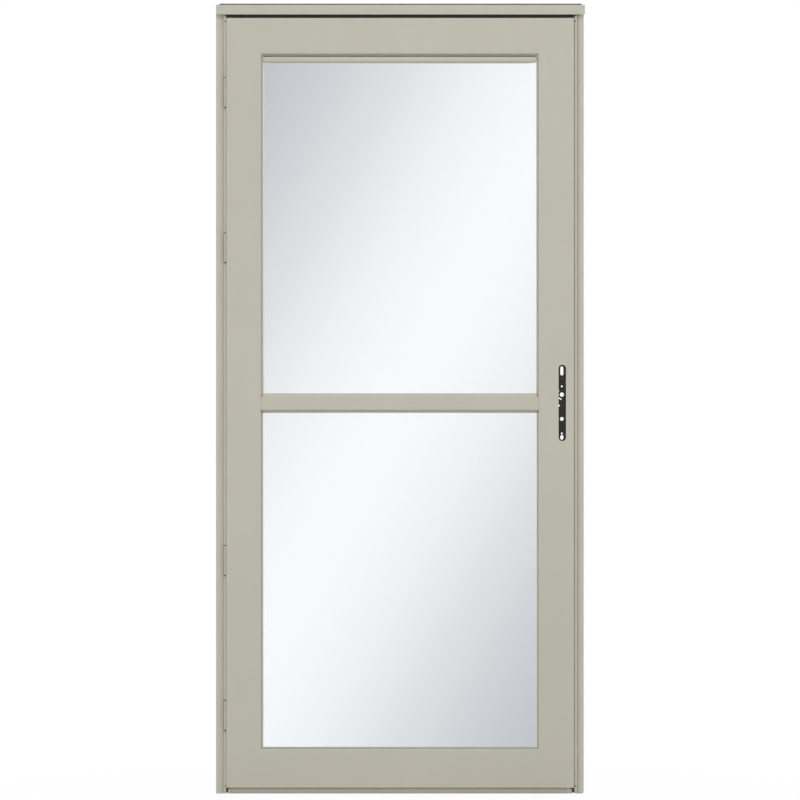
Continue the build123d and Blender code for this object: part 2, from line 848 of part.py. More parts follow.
def lock_case():
    """Mortise lock case seen through the stile's window, pierced for the handle set."""
    back_y = leaf_middle_y + case_thickness / 2
    with BuildPart() as case:
        with BuildSketch(front_plane(back_y)) as cheek:
            with Locations(((case_left + case_right) / 2, case_middle_z)):
                RectangleRounded(case_right - case_left, case_height, case_corner)
            with Locations((lock_hole_x, lock_slot_z)):
                SlotOverall(*lock_slot_size, rotation=90, mode=Mode.SUBTRACT)
            for z, radius in (
                (upper_screw_z, upper_screw_radius),
                (spindle_z, spindle_radius),
                (lower_spindle_z, lower_spindle_radius),
                (lower_screw_z, lower_screw_radius),
            ):
                with Locations((lock_hole_x, z)):
                    Circle(radius, mode=Mode.SUBTRACT)
            with Locations((lock_hole_x, cylinder_oval_z)):
                Ellipse(*cylinder_oval_radii, mode=Mode.SUBTRACT)
            side_openings(Mode.SUBTRACT)
        extrude(cheek.sketch, amount=case_thickness)
        with BuildSketch(front_plane(case_front_y)) as recesses:
            with Locations((lock_hole_x, spindle_z)):
                Circle(hub_groove_radius)
                Circle(hub_radius, mode=Mode.SUBTRACT)
        extrude(recesses.sketch, amount=-hub_groove_depth, mode=Mode.SUBTRACT)
        with BuildSketch(front_plane(case_front_y)) as dimple:
            with Locations(lock_dimple_center):
                Circle(lock_dimple_radius)
        extrude(dimple.sketch, amount=-lock_dimple_depth, mode=Mode.SUBTRACT)
        half_width = bolt_thickness / 2 + small_gap
        half_height = bolt_height / 2 + small_gap
        box_between(
            (case_right - bolt_pocket_depth, leaf_middle_y - half_width, bolt_center_z - half_height),
            (case_right, leaf_middle_y + half_width, bolt_center_z + half_height),
            mode=Mode.SUBTRACT,
        )
    keep(case, "lock_case")


def lock_faceplate():
    """Plate on the leaf's edge that the latch bolt comes through."""
    width = faceplate_width - 2 * small_gap
    height = faceplate_height - 2 * small_gap
    bolt_play = 4 * small_gap
    with BuildPart() as plate:
        with BuildSketch(Plane.YZ.offset(leaf_right - faceplate_thickness)) as face:
            with Locations((leaf_middle_y, case_middle_z)):
                RectangleRounded(width, height, faceplate_corner)
            with Locations((leaf_middle_y, bolt_center_z)):
                Rectangle(bolt_thickness + bolt_play, bolt_height + bolt_play, mode=Mode.SUBTRACT)
        extrude(face.sketch, amount=faceplate_thickness)
    keep(plate, "lock_faceplate")


def latch_bolt():
    """Spring bolt with its bevelled nose, drawn back for shipping."""
    root_x = case_right - bolt_pocket_depth + 2
    tip_x = leaf_right + bolt_throw
    front = leaf_middle_y - bolt_thickness / 2
    back = leaf_middle_y + bolt_thickness / 2
    section = [
        (root_x, front),
        (tip_x, front),
        (tip_x, back - bolt_bevel[1]),
        (tip_x - bolt_bevel[0], back),
        (root_x, back),
    ]
    with BuildPart() as bolt:
        profile(Plane.XY.offset(bolt_center_z - bolt_height / 2), section, bolt_height)
    keep(bolt, "latch_bolt")


def strike_plate():
    """Strike set flush in the latch-side bar."""
    inner_x = latch_leg_x + small_gap / 2 - bar_wall
    with BuildPart() as strike:
        with BuildSketch(Plane.YZ.offset(inner_x)) as face:
            with Locations((strike_center_y, case_middle_z)):
                Rectangle(strike_width, strike_height)
            with Locations((leaf_middle_y + strike_slot_shift, bolt_center_z)):
                RectangleRounded(*strike_slot, 2.0, mode=Mode.SUBTRACT)
        extrude(face.sketch, amount=bar_wall)
    keep(strike, "strike_plate")


def sweep_channel():
    """Adjustable bottom expander: an upright channel with two grooves under its floor for the fins."""
    front_fin = sweep_front_y + fin_inset
    back_fin = sweep_back_y - fin_inset - fin_groove_width
    groove_top = sweep_bottom + fin_groove_depth
    floor_z = sweep_bottom + sweep_floor
    section = [
        (sweep_front_y, sweep_bottom),
        (front_fin, sweep_bottom),
        (front_fin, groove_top),
        (front_fin + fin_groove_width, groove_top),
        (front_fin + fin_groove_width, sweep_bottom),
        (back_fin, sweep_bottom),
        (back_fin, groove_top),
        (back_fin + fin_groove_width, groove_top),
        (back_fin + fin_groove_width, sweep_bottom),
        (sweep_back_y, sweep_bottom),
        (sweep_back_y, sweep_top),
        (sweep_back_y - sweep_wall, sweep_top),
        (sweep_back_y - sweep_wall, floor_z),
        (sweep_front_y + sweep_wall, floor_z),
        (sweep_front_y + sweep_wall, sweep_top),
        (sweep_front_y, sweep_top),
    ]
    with BuildPart() as channel:
        profile(Plane.YZ.offset(sweep_left), section, sweep_right - sweep_left)
    keep(channel, "sweep_channel")


def sweep_end_caps():
    """Moulded caps on both ends of the expander."""
    for name, low, high in (
        ("sweep_end_cap_left", sweep_left - end_cap_left_width, sweep_left),
        ("sweep_end_cap_right", sweep_right, sweep_right + end_cap_right_width),
    ):
        with BuildPart() as cap:
            box_between(
                (low, sweep_front_y - end_cap_step, fin_tip_z),
                (high, sweep_back_y + end_cap_step, end_cap_top),
            )
            fillet(cap.edges().filter_by(Axis.Z), radius=end_cap_round)
        keep(cap, name)


def sweep_fins():
    """Two vinyl fins that taper from the expander's grooves down to the threshold."""
    root_z = sweep_bottom + fin_groove_depth - small_gap
    front = sweep_front_y + fin_inset + fin_groove_width / 2
    back = sweep_back_y - fin_inset - fin_groove_width / 2
    length = sweep_right - sweep_left - 2 * small_gap
    with BuildPart() as fins:
        for y in (front, back):
            section = [
                (y - fin_thickness / 2, sweep_bottom),
                (y - fin_thickness / 2, root_z),
                (y + fin_thickness / 2, root_z),
                (y + fin_thickness / 2, sweep_bottom),
                (y + fin_tip_thickness / 2, fin_tip_z),
                (y - fin_tip_thickness / 2, fin_tip_z),
            ]
            profile(Plane.YZ.offset(sweep_left + small_gap), section, length)
    keep(fins, "sweep_fins")


hinge_leg_inner = side_bar(frame_left, 1, hinge_flange, "hinge_z_bar", hinge_heights, False)
latch_leg_inner = side_bar(frame_right, -1, latch_flange, "latch_z_bar", (), True)
side_cover(frame_left, 1, hinge_flange, "hinge_side_cover", False)
side_cover(frame_right, -1, latch_flange, "latch_side_cover", True)
side_seals(hinge_leg_inner, 1, leaf_left, hinge_side_seal_gap, hinge_heights, "hinge_side_seal")
side_seals(latch_leg_inner, -1, leaf_right, latch_side_seal_gap, (), "latch_side_seal")
header()
for number, hinge_z in enumerate(hinge_heights, start=1):
    hinge_leaf(hinge_z, hinge_leg_inner, 0, f"hinge_frame_leaf_{number}")
    hinge_leaf(hinge_z, leaf_left - hinge_plate, 1, f"hinge_door_leaf_{number}")
hinge_pins()
leaf_members()
glazing_trim()
mid_rail()
glass()
lower_glass_retainer()
sash_tracks()
sash_rails()
screen()
pull_bar()
lock_case()
lock_faceplate()
latch_bolt()
strike_plate()
sweep_channel()
sweep_end_caps()
sweep_fins()
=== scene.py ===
"""Looks of the full-view storm door: finishes, screws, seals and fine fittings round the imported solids."""

import math
import random

import bmesh
import bpy
from mathutils import Matrix, Vector


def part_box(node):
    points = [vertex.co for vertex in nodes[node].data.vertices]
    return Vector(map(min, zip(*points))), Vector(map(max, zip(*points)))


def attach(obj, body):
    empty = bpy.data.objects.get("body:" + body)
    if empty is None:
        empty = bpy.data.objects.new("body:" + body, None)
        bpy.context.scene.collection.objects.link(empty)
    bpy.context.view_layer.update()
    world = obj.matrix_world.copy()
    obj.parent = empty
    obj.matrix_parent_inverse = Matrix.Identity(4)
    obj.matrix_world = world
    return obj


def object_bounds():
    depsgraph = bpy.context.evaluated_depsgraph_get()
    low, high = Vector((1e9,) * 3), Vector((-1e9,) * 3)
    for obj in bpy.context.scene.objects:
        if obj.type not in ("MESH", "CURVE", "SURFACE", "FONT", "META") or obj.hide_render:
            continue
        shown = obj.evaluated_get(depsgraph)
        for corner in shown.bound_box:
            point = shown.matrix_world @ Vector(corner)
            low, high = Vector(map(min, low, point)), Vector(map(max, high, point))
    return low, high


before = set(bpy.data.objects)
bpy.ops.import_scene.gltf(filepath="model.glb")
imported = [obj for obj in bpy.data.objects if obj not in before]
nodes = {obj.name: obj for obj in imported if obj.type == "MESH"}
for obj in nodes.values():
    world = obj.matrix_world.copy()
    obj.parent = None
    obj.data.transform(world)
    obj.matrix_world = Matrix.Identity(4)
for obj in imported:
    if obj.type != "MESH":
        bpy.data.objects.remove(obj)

cad_low, cad_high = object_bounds()
random.seed(20)

# Finishes, as linear colours
PAINT = (0.462, 0.448, 0.368)
VINYL = (0.455, 0.442, 0.372)
# Off-white bead colour, whitened further as a painted highlight
BEAD_AND_HIGHLIGHT = (0.85, 0.85, 0.82)
SEAL_BLACK = (0.022, 0.019, 0.016)
PAD_BROWN = (0.150, 0.143, 0.120)
CASE_DARK = (0.013, 0.013, 0.011)
STEEL = (0.56, 0.55, 0.53)
SCREEN_GREY = (0.05, 0.05, 0.05)
GLASS_TINT = (0.845, 0.860, 0.878)
FLOOR_PALE = (0.90, 0.90, 0.90)
WHITE = (1.0, 1.0, 1.0)

# Shades of those colours on single pieces, faces and marks
# Painted shade: the sweep is darkened to this share for the shade under the leaf's overhang
SWEEP_PAINTED_SHADE = 0.78
CAP_SHADE = 0.88
# Painted shade: steep reveals of the trims and mid rail are darkened to these shares, the foot trim's most,
# for the shade that falls in them
REVEAL_PAINTED_SHADE = 0.90
FOOT_REVEAL_PAINTED_SHADE = 0.74
TOP_FOAM_SHADE = 0.45
PIN_SHADE = 5.0
RIVET_SHADE = 4.0
SPECK_SHADE = 1.12
RUBBED_PAINT_SHADE = 1.18
RUBBED_STEEL_SHADE = 3.0
WEAVE_DARKEST = 0.5
WEAVE_LIGHTEST = 1.6

# Gloss
PILE_SHEEN = 0.15
CASE_SPECULAR = 0.28
GLASS_MIRROR = 0.17
GLASS_GRAZING_POWER = 5.0

# Masks: how well the rounded and plain normals agree from an edge to an open face, and how far
# a face turns to the front from a steep one, which gets painted shade, to a flat one
EDGE_AGREEMENT = (0.85, 0.995)
REVEAL_FACING = (0.55, 0.9)

# Camera: the photograph is square and shows this much of the world straight on
VIEW_WIDTH = 2.0872
VIEW_CENTER_X = 0.4701
VIEW_CENTER_Z = 1.0274
LENS_MM = 300.0
SENSOR_MM = 36.0
SIGHT_LIMIT = 200.0

# Rounded edges: widths, and what counts as an edge
METAL_EDGE = 0.0004
MOULDED_EDGE = 0.0005
HINGE_EDGE = 0.0002
EDGE_SEGMENTS = 2
EDGE_PROFILE = 0.5
SHARP_DEGREES = 40
WELD_DISTANCE = 0.00001

# Glazing beads; the wide pale left one is partly a painted highlight along the lip
BEAD_AND_HIGHLIGHT_WIDTH = {"left": 0.0025, "right": 0.0007}
BEAD_TUCK = 0.0004
BEAD_ROUND = 0.0003
LOWER_BEAD_Y = (-0.0078, -0.0057)
UPPER_BEAD_Y = (-0.0030, 0.0066)

# Screws: the dome's rings are shares of its radius and lift, the recess's sizes are shares of its radius
HINGE_NUMBERS = range(1, 5)
HINGE_PLATE = 0.0014
HINGE_SCREW_PITCH = 0.0254
HINGE_SCREW_RADIUS = 0.0038
SCREW_NEAR_Y = 0.0075
SCREW_FAR_Y = 0.0160
LOCK_SCREW_RADIUS = 0.0042
FACEPLATE_SCREW_Z = 0.112
STRIKE_SCREW_Z = 0.080
SCREW_SIDES = 32
SCREW_LIFT = 0.00025
SCREW_DOME = ((1.0, 0.0), (0.97, 0.35), (0.86, 0.75), (0.72, 1.0))
RECESS_REACH = 0.52
RECESS_HALF_WIDTH = 0.11
RECESS_TAPER = 0.55
RECESS_DEPTH = 0.0009

# Corner pad and lock rivet
PAD_WIDTH = 0.0040
PAD_Y = (-0.0090, -0.0020)
PAD_FOOT = 0.0006
PAD_ROUND = 0.0004
RIVET_X = 0.8935
RIVET_Z = 1.0835
RIVET_RADIUS = 0.0026
RIVET_FLATTEN = 0.35
RIVET_SINK = 0.0007
RIVET_SEGMENTS = 28
RIVET_RINGS = 14

# Pile strip in the header: a fibre's place in its cell, its shortest length and its lean are shares
FIBRE_PITCH = 0.0016
FIBRE_ROWS = 5
FIBRE_PLACE_X = (0.2, 0.8)
FIBRE_PLACE_Y = (0.25, 0.75)
FIBRE_LENGTH = 0.0011
FIBRE_SHORTEST = 0.6
FIBRE_LEAN = 0.3
FIBRE_ROOT = 0.0004
FIBRE_RADIUS = 0.00022
FIBRE_SIDES = 3

# Lights: name, place, size across and up, and power in watts
LIGHTS = (
    ("key", (0.30, -11.0, 3.6), (3.0, 2.4), 240.0),
    ("back", (0.47, 12.0, 8.0), (8.0, 5.0), 950.0),
    ("top", (0.47, -14.1, 15.2), (16.0, 10.0), 1680.0),
)
LIGHT_TARGET = (VIEW_CENTER_X, 0.0, VIEW_CENTER_Z)
AMBIENT = 0.265
BACKGROUND_WHITE = 1.0

# Floor: white away from the door, and a little less beside it, where its shadow lies
FLOOR_HALF_SIZE = 60.0
FLOOR_ROUGHNESS = 0.8
FLOOR_FADE_START = 0.3
FLOOR_FADE_END = 2.0
FLOOR_NEAR_WHITE = 0.93

# Card: half sizes and reach are those of its mirror image on the door; the stops are shares of the
# reach, and the fades start at shares of the half sizes
CARD_DISTANCE = 2.0
CARD_HALF_X = 0.62
CARD_HALF_Z = 1.16
CARD_FADE_X = 0.68
CARD_FADE_Z = 0.88
CARD_STRENGTH = 2.15
CARD_ACROSS = (0.873, 0.0, -0.489)
CARD_REACH = 0.74
CARD_STOPS = ((0.21, 0.90), (0.36, 0.775), (0.52, 0.575), (0.70, 0.365))
CARD_DARKEST = (0.077, 0.086, 0.103)


class Nodes:
    """Node tree of one material or world, with short calls to add, fill and link nodes."""

    def __init__(self, owner, output="OutputMaterial"):
        owner.use_nodes = True
        self.owner = owner
        self.tree = owner.node_tree
        self.tree.nodes.clear()
        self.output = self.add(output)

    def add(self, kind, **settings):
        node = self.tree.nodes.new("ShaderNode" + kind)
        for key, value in settings.items():
            setattr(node, key, value)
        return node

    def put(self, value, socket):
        """Links a socket to an input, or sets the input to a plain value."""
        if isinstance(value, bpy.types.NodeSocket):
            self.tree.links.new(value, socket)
        elif socket.type == "RGBA":
            socket.default_value = (*value, 1.0)
        else:
            socket.default_value = value

    def fill(self, node, **values):
        """Inputs of a node by name, with _ for a space."""
        for key, value in values.items():
            self.put(value, node.inputs[key.replace("_", " ")])
        return node

    def place(self):
        """Object coordinates in metres."""
        return self.add("TexCoord").outputs["Object"]

    def noise(self, scale, detail, stretch=(1.0, 1.0, 1.0)):
        """Noise of about scale features in a metre, which stretch multiplies along X, Y and Z."""
        stretched = self.fill(self.add("Mapping"), Vector=self.place(), Scale=stretch).outputs["Vector"]
        texture = self.fill(self.add("TexNoise"), Vector=stretched, Scale=scale, Detail=detail)
        return texture.outputs["Fac"]

    def spread(self, value, low, high, from_low=0.3, from_high=0.7):
        """Value moved from one range to another, by default from the one that noise mostly keeps to."""
        ends = {"From_Min": from_low, "From_Max": from_high, "To_Min": low, "To_Max": high}
        return self.fill(self.add("MapRange"), Value=value, **ends).outputs["Result"]

    def math(self, operation, *values, kind="Math"):
        """Number worked out from numbers, or from vectors where kind is VectorMath."""
        node = self.add(kind, operation=operation)
        for socket, value in zip(node.inputs, values):
            self.put(value, socket)
        return node.outputs["Value"]

    def axis(self, vector, name):
        """X, Y or Z of a vector."""
        return self.fill(self.add("SeparateXYZ"), Vector=vector).outputs[name]

    def mix(self, share, first, second):
        """Colour between first and second, each a colour or a socket."""
        node = self.add("Mix", data_type="RGBA")
        self.put(share, node.inputs["Factor"])
        for name, value in (("A", first), ("B", second)):
            socket = [s for s in node.inputs if s.name == name and s.type == "RGBA"][0]
            self.put(value, socket)
        return [s for s in node.outputs if s.type == "RGBA"][0]

    def tone(self, noise, tint, darkest, lightest):
        """Tint that noise shades between two shares of itself."""
        return self.mix(self.spread(noise, 0.0, 1.0), shade(tint, darkest), shade(tint, lightest))

    def edges(self, radius, strength):
        """Strength on edges, within radius metres of a crease, and 0 on open faces."""
        rounded = self.fill(self.add("Bevel", samples=4), Radius=radius).outputs["Normal"]
        plain = self.add("NewGeometry").outputs["Normal"]
        agreement = self.math("DOT_PRODUCT", rounded, plain, kind="VectorMath")
        return self.spread(agreement, strength, 0.0, *EDGE_AGREEMENT)

    def reveal(self):
        """Mask of painted shade: 1 on faces that turn away from the front and back, 0 on those that lie in
        the door's plane.
        """
        normal = self.add("NewGeometry").outputs["True Normal"]
        return self.spread(self.math("ABSOLUTE", self.axis(normal, "Y")), 1.0, 0.0, *REVEAL_FACING)

    def seen_directly(self):
        """1 to the camera, in mirrors and through glass, 0 to the light that falls on things."""
        path = self.add("LightPath")
        seen = self.math("MAXIMUM", path.outputs["Is Camera Ray"], path.outputs["Is Glossy Ray"])
        return self.math("MAXIMUM", seen, path.outputs["Is Transmission Ray"])

    def bump(self, height, depth, strength=1.0):
        """Normal of a surface that height raises by up to depth metres."""
        return self.fill(self.add("Bump"), Height=height, Distance=depth, Strength=strength).outputs["Normal"]

    def shader(self, kind, **values):
        """Output of a new shader node with these values."""
        return self.fill(self.add(kind), **values).outputs[0]

    def show(self, shader):
        """Makes a shader the surface that is seen."""
        self.put(shader, self.output.inputs["Surface"])

    def principled(self, **values):
        """Shows a surface with these values and returns its material."""
        self.show(self.shader("BsdfPrincipled", **values))
        return self.owner

    def blend(self, share, first, second):
        """Shows the first shader where share is 0 and the second where it is 1."""
        mixer = self.add("MixShader")
        for socket, value in zip(mixer.inputs, (share, first, second)):
            self.put(value, socket)
        self.show(mixer.outputs["Shader"])
        return self.owner


def material_nodes(name):
    """Empty node tree of a new material."""
    return Nodes(bpy.data.materials.new(name))


def shade(color, factor):
    """Colour made darker or lighter by a factor."""
    return tuple(c * factor for c in color)


def paint_material(name="sandtone_paint", tint=PAINT, reveal_painted_shade=1.0):
    """Baked powder coat on aluminium: faint orange peel and rubbed edges, and painted shade that darkens
    steep reveals.
    """
    m = material_nodes(name)
    tone = m.tone(m.noise(scale=3.0, detail=3.0), tint, darkest=0.975, lightest=1.02)
    specks = m.spread(m.noise(scale=900.0, detail=1.0), low=0.0, high=0.5, from_low=0.62, from_high=0.75)
    tone = m.mix(specks, tone, shade(tint, SPECK_SHADE))
    tone = m.mix(m.edges(radius=0.0008, strength=0.35), tone, shade(tint, RUBBED_PAINT_SHADE))
    # Painted shade: faces that turn away from the front are darkened, as if shade falls in them
    if reveal_painted_shade < 1.0:
        tone = m.mix(m.reveal(), tone, shade(tint, reveal_painted_shade))
    peel = m.noise(scale=420.0, detail=2.0)
    drawn = m.noise(scale=60.0, detail=2.0, stretch=(1.0, 1.0, 0.2))
    return m.principled(
        Base_Color=tone,
        Roughness=m.spread(drawn, low=0.44, high=0.54),
        Normal=m.bump(peel, depth=0.00007, strength=0.7),
    )


def vinyl_material(name="tan_vinyl", tint=VINYL):
    """Matte tan vinyl, extruded or moulded."""
    m = material_nodes(name)
    grain = m.noise(scale=700.0, detail=2.0, stretch=(1.0, 1.0, 0.05))
    return m.principled(
        Base_Color=m.tone(grain, tint, darkest=0.94, lightest=1.03),
        Roughness=0.6,
        Normal=m.bump(grain, depth=0.00003, strength=0.5),
    )


def bead_material():
    """Off-white glazing bead, whitened further as a painted highlight."""
    m = material_nodes("pale_bead_painted_highlight")
    grain = m.noise(scale=500.0, detail=2.0)
    return m.principled(
        Base_Color=m.tone(grain, BEAD_AND_HIGHLIGHT, darkest=0.95, lightest=1.04),
        Roughness=0.55,
        Normal=m.bump(grain, depth=0.00003, strength=0.5),
    )


def seal_material(name="black_seal", tint=SEAL_BLACK, sheen=PILE_SHEEN):
    """Pile and foam seals."""
    m = material_nodes(name)
    fibre = m.noise(scale=1800.0, detail=2.0)
    return m.principled(
        Base_Color=m.tone(fibre, tint, darkest=0.6, lightest=1.9),
        Roughness=0.85,
        Sheen_Weight=sheen,
        Normal=m.bump(fibre, depth=0.0002, strength=0.6),
    )


def glass_material():
    """Lightly coated tempered glass: a cool grey tint, and a mirror that grows towards grazing angles."""
    m = material_nodes("clear_glass")
    grazing = m.math("POWER", m.add("LayerWeight").outputs["Facing"], GLASS_GRAZING_POWER)
    share = m.spread(grazing, low=GLASS_MIRROR, high=1.0, from_low=0.0, from_high=1.0)
    see = m.shader("BsdfTransparent", Color=GLASS_TINT)
    shine = m.shader("BsdfGlossy", Roughness=0.0)
    return m.blend(share, see, shine)


def case_material(name="lock_steel", tint=CASE_DARK):
    """Dark oiled steel: the lock case with its rivet, and the hinge pins."""
    m = material_nodes(name)
    blotch = m.noise(scale=160.0, detail=4.0)
    tone = m.tone(blotch, tint, darkest=0.8, lightest=1.25)
    grain = m.noise(scale=1500.0, detail=2.0)
    return m.principled(
        Base_Color=m.mix(m.edges(radius=0.0006, strength=0.5), tone, shade(tint, RUBBED_STEEL_SHADE)),
        Metallic=0.5,
        Roughness=m.spread(blotch, low=0.38, high=0.55),
        Specular_IOR_Level=CASE_SPECULAR,
        Normal=m.bump(grain, depth=0.00005, strength=0.5),
    )


def steel_material():
    """Brushed plated steel: face plate, latch bolt, strike and screws."""
    m = material_nodes("plated_steel")
    brush = m.noise(scale=40.0, detail=3.0, stretch=(60.0, 60.0, 1.0))
    return m.principled(
        Base_Color=m.tone(brush, STEEL, darkest=0.85, lightest=1.1),
        Metallic=1.0,
        Roughness=m.spread(brush, low=0.26, high=0.4),
        Normal=m.bump(brush, depth=0.00003, strength=0.5),
    )


def mesh_material():
    """Wound fibreglass insect mesh."""
    m = material_nodes("screen_mesh")
    wave = m.fill(m.add("TexWave", bands_direction="X"), Vector=m.place(), Scale=220.0)
    weave = wave.outputs["Fac"]
    return m.principled(
        Base_Color=m.mix(weave, shade(SCREEN_GREY, WEAVE_DARKEST), shade(SCREEN_GREY, WEAVE_LIGHTEST)),
        Roughness=0.7,
        Normal=m.bump(weave, depth=0.0002),
    )


def dress(names, material):
    """Give CAD nodes their finish."""
    for name in names:
        node = nodes[name]
        node.data.materials.clear()
        node.data.materials.append(material)


def soften(name, width):
    """Small rounded edges on a CAD node, as paint and rolling leave them."""
    weld = nodes[name].modifiers.new("weld", "WELD")
    weld.merge_threshold = WELD_DISTANCE
    bevel = nodes[name].modifiers.new("edges", "BEVEL")
    bevel.width = width
    bevel.segments = EDGE_SEGMENTS
    bevel.limit_method = "ANGLE"
    bevel.angle_limit = math.radians(SHARP_DEGREES)
    bevel.harden_normals = True


def mesh_object(name, shape, material):
    """Object of the scene from a filled bmesh."""
    mesh = bpy.data.meshes.new(name)
    shape.to_mesh(mesh)
    shape.free()
    mesh.materials.append(material)
    thing = bpy.data.objects.new(name, mesh)
    bpy.context.scene.collection.objects.link(thing)
    return thing


def piece(name, shape, material, body):
    """Piece of the door from a filled bmesh, riding on a body."""
    thing = mesh_object(name, shape, material)
    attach(thing, body)


def box_mesh(shape, low, high, bevel):
    """Box with rounded edges from its lowest to its highest corner, added to a bmesh."""
    size = [high[i] - low[i] for i in range(3)]
    center = [(high[i] + low[i]) / 2 for i in range(3)]
    place = Matrix.Translation(center) @ Matrix.Diagonal((*size, 1.0))
    made = bmesh.ops.create_cube(shape, size=1.0, matrix=place)
    edges = {edge for vertex in made["verts"] for edge in vertex.link_edges}
    bmesh.ops.bevel(
        shape, geom=list(edges), offset=bevel, segments=EDGE_SEGMENTS, profile=EDGE_PROFILE, affect="EDGES"
    )


def circle(shape, place, radius, height, sides):
    """Closed loop of vertices about Z at a height, moved by place."""
    loop = []
    for step in range(sides):
        angle = 2 * math.pi * step / sides
        point = Vector((math.cos(angle) * radius, math.sin(angle) * radius, height))
        loop.append(shape.verts.new(place @ point))
    return loop


def neighbours(loop):
    """Each vertex of a closed loop with the one after it."""
    return zip(loop, loop[1:] + loop[:1])


def wall(shape, outer, inner):
    """Four-sided faces between two closed loops of as many vertices."""
    for (outer_first, outer_next), (inner_first, inner_next) in zip(neighbours(outer), neighbours(inner)):
        shape.faces.new((outer_first, outer_next, inner_next, inner_first))


def glazing_beads():
    """Pale marine bead that seats the panes, seen as a thin light line inside the trim's lip; the line is
    partly a painted highlight, wide on the left and narrow on the right.
    """
    left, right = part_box("trim_left"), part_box("trim_right")
    foot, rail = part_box("trim_bottom"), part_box("mid_rail")
    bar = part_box("screen_pull_bar")
    panes = (
        ("lower", LOWER_BEAD_Y, foot[1].z, rail[0].z),
        ("upper", UPPER_BEAD_Y, rail[1].z, bar[1].z),
    )
    for side, edge, inward in (("left", left[1].x, 1), ("right", right[0].x, -1)):
        x = sorted((edge - inward * BEAD_TUCK, edge + inward * BEAD_AND_HIGHLIGHT_WIDTH[side]))
        for pane, y, low_z, high_z in panes:
            shape = bmesh.new()
            box_mesh(shape, (x[0], y[0], low_z), (x[1], y[1], high_z), BEAD_ROUND)
            piece(f"{pane}_glazing_bead_{side}", shape, bead, "leaf")


def screw_head(shape, place, radius):
    """Flat-head screw: a low domed disc with a tapered cross recess, facing +Z before place moves it."""
    arm = radius * RECESS_REACH
    half = radius * RECESS_HALF_WIDTH
    cross = []
    for quarter in range(4):
        turn = Matrix.Rotation(math.radians(90 * quarter), 3, "Z")
        for x, y in ((arm, -half), (arm, half), (half, half)):
            cross.append(turn @ Vector((x, y, 0.0)))
    rings = []
    for share, lift in SCREW_DOME:
        rings.append(circle(shape, place, radius * share, lift * SCREW_LIFT, SCREW_SIDES))
    for outer, inner in zip(rings, rings[1:]):
        wall(shape, outer, inner)
    top = Vector((0.0, 0.0, SCREW_LIFT))
    bottom = Vector((0.0, 0.0, SCREW_LIFT - RECESS_DEPTH))
    mouth = [shape.verts.new(place @ (point + top)) for point in cross]
    pit = [shape.verts.new(place @ (point * RECESS_TAPER + bottom)) for point in cross]
    top_edges = [shape.edges.get(pair) for pair in neighbours(rings[-1])]
    mouth_edges = [shape.edges.new(pair) for pair in neighbours(mouth)]
    facing = (place.to_3x3() @ Vector((0.0, 0.0, 1.0))).normalized()
    bmesh.ops.triangle_fill(shape, use_beauty=True, edges=top_edges + mouth_edges, normal=facing)
    wall(shape, mouth, pit)
    shape.faces.new(pit)
    shape.faces.new(list(reversed(rings[0])))


def screws(name, places, radius, body):
    """Screw heads of one fitting, joined in one piece; each place is a point and the way its head faces."""
    shape = bmesh.new()
    for point, facing in places:
        turn = Vector(facing).to_track_quat("Z", "Y").to_matrix().to_4x4()
        spin = Matrix.Rotation(random.uniform(0.0, math.pi / 2), 4, "Z")
        screw_head(shape, Matrix.Translation(point) @ turn @ spin, radius)
    bmesh.ops.recalc_face_normals(shape, faces=shape.faces)
    piece(name, shape, steel, body)


def hinge_screws():
    """Three flat-head screws in each plate of each hinge, seen when the door stands open."""
    plates = (
        ("frame", "frame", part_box("hinge_side_seal")[0].x + HINGE_PLATE, 1),
        ("door", "leaf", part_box("hinge_stile")[0].x - HINGE_PLATE, -1),
    )
    for number in HINGE_NUMBERS:
        for plate, body, face, facing in plates:
            low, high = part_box(f"hinge_{plate}_leaf_{number}")
            middle_z = (low.z + high.z) / 2
            places = []
            for step, back in ((-1, SCREW_NEAR_Y), (0, SCREW_FAR_Y), (1, SCREW_NEAR_Y)):
                point = (face, high.y - back, middle_z + step * HINGE_SCREW_PITCH)
                places.append((point, (facing, 0, 0)))
            screws(f"hinge_{plate}_screws_{number}", places, HINGE_SCREW_RADIUS, body)


def lock_screws():
    """Two screws in the leaf's face plate and two in the strike."""
    faceplate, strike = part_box("lock_faceplate"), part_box("strike_plate")
    fittings = (
        ("lock_faceplate_screws", faceplate, faceplate[1].x, 1, FACEPLATE_SCREW_Z, "leaf"),
        ("strike_screws", strike, strike[0].x, -1, STRIKE_SCREW_Z, "frame"),
    )
    for name, (low, high), face, facing, reach, body in fittings:
        y = (low.y + high.y) / 2
        z = (low.z + high.z) / 2
        places = [((face, y, z + step * reach), (facing, 0, 0)) for step in (-1, 1)]
        screws(name, places, LOCK_SCREW_RADIUS, body)


def corner_pad():
    """Small pile pad in the lower corner beside the sweep on the latch side."""
    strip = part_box("latch_side_seal")
    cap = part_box("sweep_end_cap_right")
    low = (strip[0].x - PAD_WIDTH, PAD_Y[0], cap[0].z + PAD_FOOT)
    high = (strip[0].x, PAD_Y[1], cap[1].z)
    shape = bmesh.new()
    box_mesh(shape, low, high, PAD_ROUND)
    piece("latch_corner_pad", shape, pad_pile, "frame")


def lock_rivet():
    """Domed rivet head in the lock case's dimple."""
    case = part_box("lock_case")
    shape = bmesh.new()
    made = bmesh.ops.create_uvsphere(
        shape, u_segments=RIVET_SEGMENTS, v_segments=RIVET_RINGS, radius=RIVET_RADIUS
    )
    place = Vector((RIVET_X, case[0].y + RIVET_SINK, RIVET_Z))
    bmesh.ops.scale(shape, vec=(1.0, RIVET_FLATTEN, 1.0), verts=made["verts"])
    bmesh.ops.translate(shape, vec=place, verts=made["verts"])
    piece("lock_case_rivet", shape, rivet_steel, "leaf")


def fibre(shape, root, way):
    """Pointed bristle from its root to the tip that the vector way leads to."""
    base = circle(shape, Matrix.Translation(root), FIBRE_RADIUS, 0.0, FIBRE_SIDES)
    tip = shape.verts.new(root + way)
    for first, second in neighbours(base):
        shape.faces.new((first, second, tip))
    shape.faces.new(list(reversed(base)))


